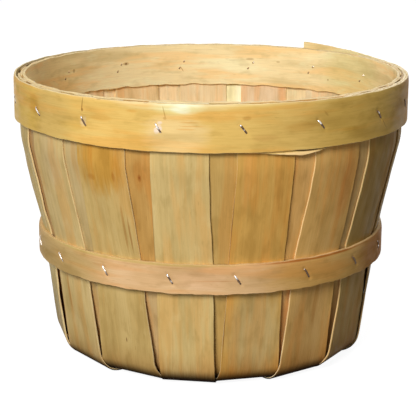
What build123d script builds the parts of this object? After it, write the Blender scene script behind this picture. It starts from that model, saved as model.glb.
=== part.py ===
"""A round peck basket of bent wood splints, hoops and staples.

Lengths are in millimetres. The basket stands on the floor plane with its centre at the origin.
A heading is an angle seen from above: 0 is the front, at -Y, and it grows toward +X.
"""

from build123d import *
from math import asin, atan2, cos, degrees, pi, radians, sin, sqrt, tan
import os

os.makedirs("parts", exist_ok=True)

# Overall size of the basket
rim_diameter = 279.4
basket_height = 198.0

# Wall outline, at the outer face of the outer splints: straight from foot to waist, then wider
# to the shoulder, then upright behind the top hoop
lower_taper = 12.0
upper_taper = 14.0
waist_height = 90.0
shoulder_drop = 11.25

# Splints: long strips of thin wood that cross under the bottom. They are flat at the foot, and
# bent to the basket's round in a few steps up to the waist
splint_thickness = 1.2
splints_per_layer = 8
first_heading = -8.5
rounding_steps = 3

# Foot: the bends, how far inside them the edges of the splints meet, the flat ring that rests on
# the floor, and where the splints climb over one another toward the middle
bend_radius = 15.4
straight_above_bend = 11.6
seam_inset = 1.08
foot_ring_width = 15.9
crossing_margin = 2.0
ramp_stagger = 4.0

# Hoops: strips of thicker wood, wound with a lap
hoop_thickness = 1.9
middle_hoop_thickness = 2.8
top_hoop_width = 31.75
middle_hoop_width = 20.5
hoop_step_sweep = 12.0
inner_lap_sweep = 30.0
middle_lap_sweep = 34.0

# Ends of the top outer hoop: one stands above the rim, the other hangs below the hoop
proud_tip_start = 115.0
proud_tip_end = 148.0
proud_tip_rise = 5.0
hanging_tip_end = 14.0
hanging_tip_low = 28.0
hanging_tip_start = 42.0
hanging_tip_drop = 3.0

# Staples of flat wire, about one to a stave: closer together over the front than over the back
front_staples = 8
back_staples = 8
first_staple_heading = -76.0
front_staple_pitch = 21.2
staple_crown = 8.6
staple_wire = 1.2
staple_gauge = 0.7
staple_tilt = 40.0
clinch_length = 3.2
centre_staple_crown = 12.0
centre_staple_spacing = 14.0

# Clearance between pieces that lie on one another, and how far a cutting shape overruns
fit = 0.05
overrun = 10.0

# Angles and radii that follow from the sizes above
full_turn = 360.0
half_turn = full_turn / 2
front_angle = -full_turn / 4
splint_pitch = half_turn / splints_per_layer
stack_pitch = splint_thickness + fit
rim_radius = rim_diameter / 2
rim_wall_radius = rim_radius - 2 * (hoop_thickness + fit)
inner_face_radius = rim_wall_radius - 2 * splint_thickness - fit
waist_radius = rim_wall_radius - upper_taper
foot_radius = waist_radius - lower_taper

# Heights that follow from them
top_hoop_bottom = basket_height - top_hoop_width
middle_hoop_bottom = waist_height - middle_hoop_width
shoulder_height = top_hoop_bottom - shoulder_drop
flat_wall_height = bend_radius + straight_above_bend

# The foot's bends begin where the flat bottom ends. The splints are as wide as their share of
# the way round there, so that their edges meet, and flat inner ones stand further in to clear them
bend_turn = half_turn / 2 - degrees(atan2(lower_taper, waist_height))
bend_start = foot_radius - bend_radius * tan(radians(bend_turn / 2))
splint_width = 2 * (bend_start - seam_inset) * tan(radians(splint_pitch / 2))
flat_corner_reach = sqrt((foot_radius - splint_thickness) ** 2 - (splint_width / 2) ** 2)
flat_set_back = foot_radius - flat_corner_reach + 3 * fit
inner_bend_radius = bend_radius - splint_thickness + 4 * fit
crossing_reach = splint_width / 2 / tan(radians(splint_pitch))


def polar(radius, heading):
    """Point on the floor plane at a radius and a heading."""
    return (radius * sin(radians(heading)), -radius * cos(radians(heading)))


def wall_reach(height):
    """Distance of the wall's outer face from the axis, straight from foot to waist to shoulder."""
    if height <= waist_height:
        return foot_radius + (waist_radius - foot_radius) * height / waist_height
    rise = min(height, shoulder_height) - waist_height
    return waist_radius + (rim_wall_radius - waist_radius) * rise / (shoulder_height - waist_height)


def roundness(height):
    """0 where the strip is still flat, near the bottom, and 1 from the waist up."""
    share = (height - flat_wall_height) / (waist_height - flat_wall_height)
    return min(max(share, 0), 1)


def set_back(height, layer):
    """How far a layer's outer face stands inside the wall's. Flat strips need the wider gap."""
    bent_round = roundness(height)
    return layer * (flat_set_back + (stack_pitch - flat_set_back) * bent_round)


def sagitta(radius, half_width):
    """How far an arc's ends fall back from its crown."""
    return radius - sqrt(radius**2 - half_width**2)


def wall_section(height, layer):
    """Level section through one upright strip: flat low down, then bent to the basket's round."""
    reach = wall_reach(height) - set_back(height, layer)
    half = splint_width / 2
    bent_round = roundness(height)
    outer_fall = 0
    inner_fall = 0
    if bent_round > 0:
        outer_fall = sagitta(reach / bent_round, half)
        inner_fall = sagitta(reach / bent_round - splint_thickness, half)
    inner_reach = reach - splint_thickness
    outer_ends = [(-half, outer_fall - reach), (half, outer_fall - reach)]
    inner_ends = [(half, inner_fall - inner_reach), (-half, inner_fall - inner_reach)]
    if bent_round > 0:
        outer_edge = ThreePointArc(outer_ends[0], (0, -reach), outer_ends[1])
        inner_edge = ThreePointArc(inner_ends[0], (0, -inner_reach), inner_ends[1])
    else:
        outer_edge = Line(*outer_ends)
        inner_edge = Line(*inner_ends)
    sides = [Line(outer_ends[1], inner_ends[0]), Line(inner_ends[1], outer_ends[0])]
    return Pos(0, 0, height) * make_face([outer_edge, sides[0], inner_edge, sides[1]])


def bottom_strip(layer, outer_level, centre_level):
    """The flat part of a splint: both bends and the bottom, climbing to its place in the stack."""
    low = outer_level * stack_pitch
    high = centre_level * stack_pitch
    ramp_in = crossing_reach + crossing_margin + outer_level * ramp_stagger
    ramp_out = bend_start - foot_ring_width + outer_level * ramp_stagger
    gap = set_back(0, layer)
    outer_corner = (wall_reach(low) - gap, low)
    inner_low = low + splint_thickness
    inner_corner = (wall_reach(inner_low) - gap - splint_thickness, inner_low)
    top_reach = wall_reach(flat_wall_height) - gap
    right_lower = [(ramp_in, high), (ramp_out, low), outer_corner, (top_reach, flat_wall_height)]
    right_upper = [
        (top_reach - splint_thickness, flat_wall_height),
        inner_corner,
        (ramp_out, low + splint_thickness),
        (ramp_in, high + splint_thickness),
    ]
    left_lower = [(-x, z) for x, z in reversed(right_lower)]
    left_upper = [(-x, z) for x, z in reversed(right_upper)]
    outline = make_face(Polyline(*left_lower, *right_lower, *right_upper, *left_upper, close=True))
    radius = inner_bend_radius if layer else bend_radius
    for side in (1, -1):
        for corner, size in ((outer_corner, radius), (inner_corner, radius - splint_thickness)):
            place = Vector(side * corner[0], corner[1])
            outline = fillet(outline.vertices().sort_by_distance(place)[0], size)
    return extrude(Plane.YZ * outline, splint_width / 2, both=True)


def splint(layer, index):
    """One long strip: up one wall, under the bottom and up the opposite wall.

    Near the walls every second strip of a layer lies over its neighbours, and in the middle each
    has a level of its own. The lowest is one level up there, which keeps the staples off the floor.
    """
    upper_half = index % 2
    outer_level = 2 * layer + upper_half
    first_level = splints_per_layer * layer + splints_per_layer // 2 * upper_half + 1
    centre_level = first_level + index // 2
    step = (waist_height - flat_wall_height) / rounding_steps
    heights = [flat_wall_height + step * count for count in range(rounding_steps)]
    heights += [waist_height, shoulder_height, basket_height]
    wall = loft([wall_section(height, layer) for height in heights], ruled=True)
    strip = bottom_strip(layer, outer_level, centre_level) + wall + Rot(0, 0, half_turn) * wall
    return Rot(0, 0, first_heading + (index + layer / 2) * splint_pitch) * strip


def strip_edge(radii, start, sweeps):
    """One edge of a wound hoop seen from above: two arcs joined by a gentle step."""
    step_start = start + sweeps[0]
    step_end = step_start + hoop_step_sweep
    step_middle = polar(sum(radii) / 2, (step_start + step_end) / 2)
    return [
        CenterArc((0, 0), radii[0], start + front_angle, sweeps[0]),
        ThreePointArc(polar(radii[0], step_start), step_middle, polar(radii[1], step_end)),
        CenterArc((0, 0), radii[1], step_end + front_angle, sweeps[1]),
    ]


def wound_hoop(radii, start, sweeps, bottom, width):
    """A strip wound on its outer radii, first one and then the other, over the sweeps given.

    The plies lie on one another at the lap, so the radii are one thickness and the fit apart.
    """
    thickness = abs(radii[1] - radii[0]) - fit
    inner_radii = [radius - thickness for radius in radii]
    end = start + sum(sweeps) + hoop_step_sweep
    start_cut = Line(polar(radii[0], start), polar(inner_radii[0], start))
    end_cut = Line(polar(radii[1], end), polar(inner_radii[1], end))
    edges = strip_edge(radii, start, sweeps) + strip_edge(inner_radii, start, sweeps)
    face = make_face(edges + [start_cut, end_cut])
    return extrude(Pos(0, 0, bottom) * face, width, dir=(0, 0, 1))


def hoop_tip(radius, headings, low_edge, high_edge):
    """An end of a hoop strip that leaves the level: a ring sector cut to a side outline.

    The edges are heights at the headings, which run from the plain hoop to the cut end.
    """
    middle = (headings[0] + headings[-1]) / 2
    across = [radius * sin(radians(heading - middle)) for heading in headings]
    outline = Polyline(*zip(across, low_edge), *reversed(list(zip(across, high_edge))), close=True)
    side = Plane(origin=(0, 0, 0), x_dir=(1, 0, 0), z_dir=(0, -1, 0)) * make_face(outline)
    prism = Rot(0, 0, middle) * extrude(side, radius + overrun)
    sweep = abs(headings[-1] - headings[0])
    start = min(headings[0], headings[-1])
    inner = radius - hoop_thickness
    ends = [start, start + sweep]
    sector = make_face(
        [
            CenterArc((0, 0), radius, start + front_angle, sweep),
            CenterArc((0, 0), inner, start + front_angle, sweep),
            Line(polar(radius, ends[0]), polar(inner, ends[0])),
            Line(polar(radius, ends[1]), polar(inner, ends[1])),
        ]
    )
    height = basket_height + overrun
    return extrude(sector, height) & prism


def top_outer_hoop():
    """The wide outer strip: its under ply starts at the front right and hangs a little low, and
    its over ply ends at the back right, where it stands above the rim."""
    over_radius = rim_radius
    under_radius = rim_radius - hoop_thickness - fit
    lap_sweep = proud_tip_end - hanging_tip_start
    over_start = proud_tip_end + hoop_step_sweep
    over_sweep = full_turn + proud_tip_start - over_start
    radii = [under_radius, over_radius]
    sweeps = [lap_sweep, over_sweep]
    band = wound_hoop(radii, hanging_tip_start, sweeps, top_hoop_bottom, top_hoop_width)
    low = top_hoop_bottom - hanging_tip_drop
    high = basket_height - hanging_tip_drop
    hanging_tip = hoop_tip(
        under_radius,
        [hanging_tip_start, hanging_tip_low, hanging_tip_end],
        [top_hoop_bottom, low, top_hoop_bottom],
        [basket_height, high, high],
    )
    proud_tip = hoop_tip(
        over_radius,
        [proud_tip_start, proud_tip_end],
        [top_hoop_bottom, top_hoop_bottom + proud_tip_rise],
        [basket_height, basket_height + proud_tip_rise],
    )
    return band + hanging_tip + proud_tip


def top_inner_hoop():
    """The wide strip inside the rim, lapped on its inner side at the front."""
    outer = inner_face_radius - fit
    radii = [outer, outer - hoop_thickness - fit]
    sweeps = [full_turn - hoop_step_sweep, inner_lap_sweep]
    start = -inner_lap_sweep / 2
    return wound_hoop(radii, start, sweeps, top_hoop_bottom, top_hoop_width)


def middle_hoop():
    """The narrow strip at the waist, lapped on its outer side at the back."""
    outer = waist_radius + fit + middle_hoop_thickness
    radii = [outer, outer + middle_hoop_thickness + fit]
    sweeps = [full_turn - hoop_step_sweep, middle_lap_sweep]
    start = half_turn - middle_lap_sweep / 2
    return wound_hoop(radii, start, sweeps, middle_hoop_bottom, middle_hoop_width)


def lapped_radius(heading, radius, rise, start, lap_sweep):
    """Radius of a wound hoop's free face. It rises by one ply on the step and stays so on the lap."""
    turned = (heading - start) % full_turn
    if turned <= lap_sweep:
        return radius + rise
    stepped = max(turned - full_turn + hoop_step_sweep, 0) / hoop_step_sweep
    return radius + rise * stepped


def staple_headings():
    """Headings of the staples in a ring: those over the front, and then those that share the rest."""
    front = [first_staple_heading + index * front_staple_pitch for index in range(front_staples)]
    rest = first_staple_heading + full_turn - front[-1]
    back = [front[-1] + rest * (index + 1) / (back_staples + 1) for index in range(back_staples)]
    return front + back


def along_staple(heading, height, reach, share):
    """Heading and height of a place on a slanting staple, at a share of the way to its lower end."""
    lean = radians(staple_tilt)
    distance = share * staple_crown / 2
    return heading + degrees(distance * sin(lean) / reach), height - distance * cos(lean)


def wall_inside(heading, height):
    """Radius of the wall's inner face: the inner splints', or the outer ones' between those."""
    reach = wall_reach(height) - set_back(height, 1)
    from_centre = abs((heading - first_heading) % splint_pitch - splint_pitch / 2)
    covered = degrees(asin((splint_width + clinch_length) / 2 / reach))
    layer = 1 if from_centre < covered else 0
    return wall_reach(height) - set_back(height, layer) - splint_thickness


def staple_plane(heading, height):
    """Plane through a hoop staple: along its slanting crown, and outward from the axis."""
    lean = radians(staple_tilt)
    along = (sin(lean), 0, -cos(lean))
    at_front = Plane(origin=(0, 0, height), x_dir=along, z_dir=(-cos(lean), 0, -sin(lean)))
    return Plane(Rot(0, 0, heading) * at_front.location)


def wire(plane, outline):
    """A length of staple wire whose side outline is given in the staple's plane."""
    return extrude(plane * make_face(Polyline(*outline, close=True)), staple_wire / 2, both=True)


def hoop_staple(plane, crown_seat, clinch_seats):
    """What shows of a driven staple: its crown outside and its two ends clinched inside.

    The legs are buried in the wood, so they are left out.
    """
    end = staple_crown / 2
    shoulder = end - staple_gauge
    tip = end - clinch_length
    low = crown_seat + fit
    high = low + staple_gauge
    solids = [wire(plane, [(-end, low), (end, low), (shoulder, high), (-shoulder, high)])]
    for side, seat in zip((1, -1), clinch_seats):
        near = seat - fit
        far = near - staple_gauge
        outline = [(side * end, near), (side * tip, near), (side * tip, far), (side * shoulder, far)]
        solids.append(wire(plane, outline))
    return solids


def top_hoop_staples():
    """The ring of staples through both hoops at the rim and the splints between them."""
    solids = []
    height = basket_height - top_hoop_width / 2
    face = inner_face_radius - fit - hoop_thickness
    lap = (-hoop_thickness - fit, -inner_lap_sweep / 2, inner_lap_sweep)
    for heading in staple_headings():
        edges = [along_staple(heading, height, face, share)[0] for share in (1, -1)]
        seat = min(lapped_radius(edge, face, *lap) for edge in edges)
        solids += hoop_staple(staple_plane(heading, height), rim_radius, [seat, seat])
    return Compound(solids)


def middle_hoop_staples():
    """The ring of staples through the middle hoop and the splints behind it."""
    solids = []
    height = middle_hoop_bottom + middle_hoop_width / 2
    face = waist_radius + fit + middle_hoop_thickness
    lap = (middle_hoop_thickness + fit, half_turn - middle_lap_sweep / 2, middle_lap_sweep)
    for heading in staple_headings():
        edges = [along_staple(heading, height, face, share)[0] for share in (1, -1)]
        crown_seat = max(lapped_radius(edge, face, *lap) for edge in edges)
        clinch_seats = []
        for side in (1, -1):
            # The wall leans in toward the foot, so each end is seated where it reaches lowest
            middle_share = side - side * clinch_length / staple_crown
            end_heading = along_staple(heading, height, face, middle_share)[0]
            lowest = along_staple(heading, height, face, max(side, 0))[1] - staple_wire
            clinch_seats.append(wall_inside(end_heading, lowest))
        solids += hoop_staple(staple_plane(heading, height), crown_seat, clinch_seats)
    return Compound(solids)


def centre_staple_planes():
    """Planes of the two staples under the middle, with outward pointing down."""
    places = [side * centre_staple_spacing / 2 for side in (1, -1)]
    return [Plane(origin=(place, 0, 0), x_dir=(0, 1, 0), z_dir=(-1, 0, 0)) for place in places]


def centre_staples():
    """Two long staples through the whole stack, crowns below and ends clinched on the top strip."""
    end = centre_staple_crown / 2
    leg = end - staple_gauge
    tip = end - clinch_length
    crown_face = stack_pitch - fit
    clinch_face = 2 * splints_per_layer * stack_pitch + splint_thickness + fit
    right = [
        (end, staple_gauge - crown_face),
        (end, -clinch_face - staple_gauge),
        (tip, -clinch_face - staple_gauge),
        (tip, -clinch_face),
        (leg, -clinch_face),
        (leg, -crown_face),
    ]
    outline = right + [(-x, y) for x, y in reversed(right)]
    return Compound([wire(plane, outline) for plane in centre_staple_planes()])


def centre_slots():
    """Slots in the splints for the legs of the centre staples."""
    depth = (2 * splints_per_layer + 2) * stack_pitch
    slot = Rectangle(staple_gauge + 2 * fit, 2 * depth)
    reach = (centre_staple_crown - staple_gauge) / 2
    faces = [plane * Pos(side * reach, 0) * slot for plane in centre_staple_planes() for side in (1, -1)]
    return [extrude(face, staple_wire / 2 + fit, both=True) for face in faces]


pieces = {}
slots = centre_slots()
for layer, layer_name in enumerate(("outer", "inner")):
    for index in range(splints_per_layer):
        pieces[f"{layer_name}_splint_{index + 1}"] = splint(layer, index) - slots
pieces["top_outer_hoop"] = top_outer_hoop()
pieces["top_inner_hoop"] = top_inner_hoop()
pieces["middle_hoop"] = middle_hoop()
pieces["top_hoop_staples"] = top_hoop_staples()
pieces["middle_hoop_staples"] = middle_hoop_staples()
pieces["centre_staples"] = centre_staples()

for name, piece in pieces.items():
    export_step(piece, f"parts/{name}.step")
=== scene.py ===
"""The looks of a round peck basket of bent wood splints, hoops and staples.

Lengths are in metres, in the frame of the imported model: the basket stands on z = 0 with its axis on z.
A heading is an angle seen from above, in degrees: 0 is the front, at -y, and it grows toward +x.
"""

import bpy
import numpy as np
from mathutils import Matrix, Vector


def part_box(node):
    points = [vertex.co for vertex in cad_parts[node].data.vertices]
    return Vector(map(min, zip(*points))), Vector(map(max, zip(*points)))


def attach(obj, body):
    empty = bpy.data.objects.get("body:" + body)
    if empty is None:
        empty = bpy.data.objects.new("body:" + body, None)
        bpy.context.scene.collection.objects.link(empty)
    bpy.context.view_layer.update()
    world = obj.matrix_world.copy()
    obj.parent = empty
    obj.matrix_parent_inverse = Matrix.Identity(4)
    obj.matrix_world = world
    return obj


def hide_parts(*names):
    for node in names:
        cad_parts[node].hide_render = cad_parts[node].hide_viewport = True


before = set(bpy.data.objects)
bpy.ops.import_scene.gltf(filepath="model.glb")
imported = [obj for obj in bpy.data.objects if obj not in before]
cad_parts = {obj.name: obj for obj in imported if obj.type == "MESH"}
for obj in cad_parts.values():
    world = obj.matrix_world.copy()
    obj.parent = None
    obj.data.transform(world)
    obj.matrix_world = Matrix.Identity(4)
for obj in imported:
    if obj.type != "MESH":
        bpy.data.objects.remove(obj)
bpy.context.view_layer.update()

# Outer splints
# Eight long strips of thin rotary-cut wood that are steamed and bent up at both ends, so that they
# show as sixteen staves. They cross under the bottom, lie flat on the floor in a ring at the foot,
# and are bent to the basket's round from the waist up, where the hoops hold them.

rim_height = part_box("outer_splint_1")[1].z
rim_radius = -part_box("top_outer_hoop")[0].x
top_hoop_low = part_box("top_inner_hoop")[0].z
middle_hoop_low, waist_height = (corner.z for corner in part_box("middle_hoop"))
hoop_thickness = 0.0019
splint_thickness = 0.0012
layer_fit = 0.00005
stack_pitch = splint_thickness + layer_fit
upper_taper, lower_taper, shoulder_drop = 0.014, 0.012, 0.01125
wall_radius = rim_radius - 2 * (hoop_thickness + layer_fit)
waist_radius = wall_radius - upper_taper
foot_radius = waist_radius - lower_taper
shoulder_height = top_hoop_low - shoulder_drop
flat_height = 0.027
bend_radius = 0.0154
flat_set_back = 0.003
ramp_low, ramp_high, ramp_stagger = 0.0804, 0.0477, 0.004
splints_per_layer = 8
splint_pitch = 180.0 / splints_per_layer
first_heading = -8.5
splint_half_width = 0.01894
splint_step = 0.0018
splint_columns = 20
bend_samples, wall_samples = 15, 60
path_smoothing = 2
cut_corner = 0.00022
sharp_angle = 35
edge_waviness, edge_wave = 0.00025, 0.09
lap_start, lap_end, step_end = 14.0, 148.0, 160.0
closing_turn = (348, 359.5)
lean_shares, swelling_share = (0.95, 0.5), 0.42
belly_depth, belly_seed = 0.0004, 5


def ease(low, high, value):
    """Smooth step: 0 below low and 1 above high, and 3 t squared less 2 t cubed between them."""
    t = np.clip((value - low) / (high - low), 0, 1)
    return t * t * (3 - 2 * t)


def wobble(place, longest, seed):
    """Unevenness of about -1 to 1: five sines, each shorter and weaker than the last, of seeded phases."""
    random = np.random.default_rng(seed)
    count = np.arange(5)
    waves = longest / 1.75**count * random.uniform(0.85, 1.15, 5)
    phases = random.uniform(0, 2 * np.pi, 5)
    turns = np.asarray(place)[..., None] / waves
    return (np.sin(2 * np.pi * turns + phases) * 0.62**count).sum(-1) / 1.6


def smoothed(line, reach):
    """Mean of an evenly sampled line over reach samples each way, with its ends held."""
    padded = np.pad(line, reach, mode="reflect", reflect_type="odd")
    return np.convolve(padded, np.full(2 * reach + 1, 1 / (2 * reach + 1)), mode="valid")


def wall_reach(height):
    """Radius of the outer splints' outer face: straight from foot to waist to shoulder, then upright."""
    heights = [0, waist_height, shoulder_height, rim_height]
    return np.interp(height, heights, [foot_radius, waist_radius, wall_radius, wall_radius])


def roundness(height):
    """0 where the splints are still flat, low down, and 1 from the waist up."""
    return np.clip((height - flat_height) / (waist_height - flat_height), 0, 1)


def set_back(height, layer):
    """How far a layer's outer face stands inside the wall: far where it is flat, close from the waist."""
    return layer * (flat_set_back + (stack_pitch - flat_set_back) * roundness(height))


def free_wall(height):
    """1 on the free stretches of wall and 0 under the hoops and at the foot, with soft ends."""
    upper = ease(waist_height, waist_height + 0.02, height) * (1 - ease(-0.02, 0, height - top_hoop_low))
    lower = ease(flat_height, 0.045, height) * (1 - ease(-0.015, 0, height - middle_hoop_low))
    return upper + lower


def hoop_room(heading):
    """Space between the splints and the top outer hoop, which stands off them except at its lap."""
    turned = (heading - lap_start) % 360
    opened = ease(lap_end - lap_start, step_end - lap_start, turned)
    return (hoop_thickness + layer_fit) * (opened - ease(*closing_turn, turned))


def splint_path(layer, outer_level, centre_level, tops):
    """Side line of a strip's outer face, from the back rim under the bottom to the front rim.

    Each half is the level middle, a ramp down to the floor ring, a round bend and the wall. It is
    sampled evenly and smoothed, so that no kink is sharp. Gives the distances along, out and up.
    """
    low, high = outer_level * stack_pitch, centre_level * stack_pitch
    shift = outer_level * ramp_stagger
    turn = np.pi / 2 - np.arctan2(waist_radius - foot_radius, waist_height)
    radius = bend_radius - layer * (splint_thickness - 4 * layer_fit)
    start = wall_reach(low) - set_back(0, layer) - radius * np.tan(turn / 2)
    angles = np.linspace(0, turn, bend_samples)
    halves = []
    for top in tops:
        wall_up = np.linspace(flat_height, top, wall_samples)
        wall_out = wall_reach(wall_up) - set_back(wall_up, layer)
        bottom_out = [0, ramp_high + shift, ramp_low + shift]
        out = np.concatenate([bottom_out, start + radius * np.sin(angles), wall_out])
        up = np.concatenate([[high, high, low], low + radius * (1 - np.cos(angles)), wall_up])
        halves.append((out, up))
    (front_out, front_up), (back_out, back_up) = halves
    out = np.concatenate([back_out[:0:-1], -front_out])
    up = np.concatenate([back_up[:0:-1], front_up])
    length = np.concatenate([[0], np.hypot(np.diff(out), np.diff(up)).cumsum()])
    along = np.linspace(0, length[-1], int(length[-1] / splint_step))
    out, up = (smoothed(np.interp(along, length, line), path_smoothing) for line in (out, up))
    return along - length[len(back_out) - 1], out, up


def strip_ring(half_width, thickness, columns):
    """Section through a strip, in order round it: shares across, and depths below its outer face.

    The outer face runs from side to side and the inner face comes back. The corners are cut off
    a little, and each face has a narrow band beside them that keeps them crisp.
    """
    inset = cut_corner / half_width
    middle = np.linspace(-1 + 3 * inset, 1 - 3 * inset, columns)
    face = np.concatenate([[-1, -1 + inset], middle, [1 - inset, 1]])
    depth = np.zeros_like(face)
    depth[[0, -1]] = cut_corner
    return np.concatenate([face, face[::-1]]), np.concatenate([depth, thickness - depth])


def strip_mesh(name, points, grain):
    """A closed strip from rings of points, as stations by places round, with a cap at each end.

    Its points keep their distances along, across and deep as grain. Its faces say which are cut.
    """
    stations, around = points.shape[:2]
    ring = np.arange(around)
    station = np.arange(stations - 1)[:, None] * around
    after = (ring + 1) % around
    next_station = station + around
    sides = np.stack([station + ring, station + after, next_station + after, next_station + ring], -1)
    half = around // 2
    low = np.arange(half - 1)
    cap = np.stack([low, around - 1 - low, around - 2 - low, low + 1], -1)
    faces = np.concatenate([sides.reshape(-1, 4), cap[:, ::-1], cap + (stations - 1) * around])
    at_side = np.isin(ring, [0, half - 2, half - 1, half, around - 2, around - 1])
    cut = np.concatenate([np.tile(at_side, stations - 1), np.ones(2 * len(cap), bool)])
    mesh = bpy.data.meshes.new(name)
    mesh.from_pydata(points.reshape(-1, 3), [], faces)
    grain_data = mesh.attributes.new("grain", "FLOAT_VECTOR", "POINT").data
    grain_data.foreach_set("vector", grain.astype("f").ravel())
    mesh.attributes.new("cut", "FLOAT", "FACE").data.foreach_set("value", cut.astype("f"))
    mesh.shade_smooth()
    mesh.set_sharp_from_angle(angle=np.radians(sharp_angle))
    piece = bpy.data.objects.new(name, mesh)
    bpy.context.scene.collection.objects.link(piece)
    return piece


def splint_strip(name, layer, index, lifts, sways, seed):
    """One splint as a bent strip.

    A place is on the side line, moved across, and drawn in by the fall of the round wall there. The
    free wall bellies a little, its two sides lift off it by up to lifts, and at the front the ends
    lean out toward the top hoop and are swollen inward. Each half is laid a little askew, by its
    sways at rim and foot, and widened at the foot by the third of them, all in millimetres. Gives the
    piece, and the side line's distances and heights.
    """
    random = np.random.default_rng(seed)
    upper_half = index % 2
    outer_level = 2 * layer + upper_half
    centre_level = splints_per_layer * layer + splints_per_layer // 2 * upper_half + 1 + index // 2
    heading = first_heading + (index + layer / 2) * splint_pitch
    tops = rim_height - random.uniform(0, 0.0001, 2)
    along, out, up = splint_path(layer, outer_level, centre_level, tops)
    slope_out, slope_up = np.gradient(out), np.gradient(up)
    length = np.hypot(slope_out, slope_up)
    normal_out, normal_up = (-slope_up / length)[:, None], (slope_out / length)[:, None]

    share, depth = strip_ring(splint_half_width, splint_thickness, splint_columns)
    left, right = (wobble(along, edge_wave, seed + shift)[:, None] for shift in (1, 2))
    height = up[:, None]
    widening = 0.001 * np.where(along[:, None] > 0, *(half[2] for half in sways)) * (1 - layer)
    spread = widening * (ease(0.06, 0.018, height) + 1.2 * ease(0.016, 0.004, height))
    across = share * (splint_half_width + spread + edge_waviness * np.where(share < 0, left, right))
    rim_share = ease(0, rim_height, height)
    sway = [0.001 * (rim_share * at_rim + (1 - rim_share) * at_foot) for at_rim, at_foot, _ in sways]
    sway = np.where(along[:, None] > 0, *sway) * ease(0.02, 0.1, np.abs(along))[:, None]
    curve = roundness(height) / wall_reach(height)
    fall = (across + sway) ** 2 * curve / (1 + np.sqrt(1 - ((across + sway) * curve) ** 2))

    turned = np.degrees((across + sway) / wall_reach(height))
    place = heading + np.where(out[:, None] > 0, 180 - turned, turned)
    free = free_wall(height)
    belly = belly_depth * free * wobble(np.sin(np.radians(place)) + 3 * height, 0.5, belly_seed)
    waves = (wobble(along, 0.15, seed + shift)[:, None] for shift in (3, 4))
    left, right = (np.clip(0.8 + 0.5 * wave, 0, 1.3) for wave in waves)
    lift = free * share**4 * np.where(share < 0, lifts[0] * left, lifts[1] * right)
    room = hoop_room(place) * (0.15 + 0.85 * ease(0.05, 0.35, np.cos(np.radians(place))))
    lean = room * ease(shoulder_height, rim_height, height) * lean_shares[layer]
    swelling = swelling_share * room * ease(rim_height - 0.012, rim_height - 0.003, height)
    depth = depth + swelling * (depth > splint_thickness / 2)

    outward = belly + lift + lean - fall - depth * np.sqrt(1 - ((across + sway) * curve) ** 2)
    side = across + sway - depth * (across + sway) * curve
    along_out = out[:, None] + normal_out * outward
    along_up = height + normal_up * outward
    sine, cosine = np.sin(np.radians(heading)), np.cos(np.radians(heading))
    points = np.stack([side * cosine - along_out * sine, side * sine + along_out * cosine, along_up], -1)
    grain = np.stack(np.broadcast_arrays(along[:, None], across, depth), -1)
    return strip_mesh(name, points, grain), along, up


def paint(red, green, blue):
    """Linear colour of a shade that is given on the screen's scale of 0 to 255."""
    shade = np.array([red, green, blue]) / 255
    linear = np.where(shade <= 0.04045, shade / 12.92, ((shade + 0.055) / 1.055) ** 2.4)
    return (*linear.tolist(), 1.0)


def fill_inputs(tree, node, inputs):
    """Links each input of a node to a socket, or gives it a value."""
    for key, value in inputs.items():
        if isinstance(value, bpy.types.NodeSocket):
            tree.links.new(value, node.inputs[key])
        else:
            node.inputs[key].default_value = value
    return node


def add(tree, kind, inputs=None, **settings):
    """A new node with its settings and inputs."""
    node = tree.nodes.new("ShaderNode" + kind)
    for setting, value in settings.items():
        setattr(node, setting, value)
    return fill_inputs(tree, node, inputs or {})


def add_group(tree, group, inputs):
    """Outputs of a new use of a node group."""
    node = tree.nodes.new("ShaderNodeGroup")
    node.node_tree = group
    return fill_inputs(tree, node, inputs).outputs


def maths(tree, operation, first, second=0.0, third=0.0):
    """Result of a sum on values or sockets."""
    return add(tree, "Math", {0: first, 1: second, 2: third}, operation=operation).outputs[0]


def ranged(tree, value, low, high, to_low=0.0, to_high=1.0):
    """A value brought smoothly from one range to another, and held at its ends."""
    inputs = {"Value": value, "From Min": low, "From Max": high, "To Min": to_low, "To Max": to_high}
    return add(tree, "MapRange", inputs, interpolation_type="SMOOTHSTEP").outputs[0]


def mixed(tree, share, first, second, mode="MIX"):
    """A blend of two colours."""
    return add(tree, "Mix", {0: share, 6: first, 7: second}, data_type="RGBA", blend_type=mode).outputs[2]


def node_group(name, inputs, outputs):
    """An empty shader group, with its sockets given as names and kinds."""
    tree = bpy.data.node_groups.new(name, "ShaderNodeTree")
    for sockets, way in ((inputs, "INPUT"), (outputs, "OUTPUT")):
        for socket, kind in sockets.items():
            tree.interface.new_socket(name=socket, in_out=way, socket_type="NodeSocket" + kind)
    return tree, tree.nodes.new("NodeGroupInput").outputs, tree.nodes.new("NodeGroupOutput").inputs


def grain_noise(tree, grain, seed, along, across, detail=2.0):
    """Noise drawn out along the grain, with as many features a metre along and across as given."""
    parts = add(tree, "SeparateXYZ", {0: grain}).outputs
    place = {0: maths(tree, "MULTIPLY", parts[0], along), 1: maths(tree, "MULTIPLY", parts[1], across)}
    place[2] = maths(tree, "MULTIPLY_ADD", seed, 7.3, maths(tree, "MULTIPLY", parts[2], 500.0))
    vector = add(tree, "CombineXYZ", place).outputs[0]
    return add(tree, "TexNoise", {"Vector": vector, "Scale": 1.0, "Detail": detail}).outputs[0]


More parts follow.
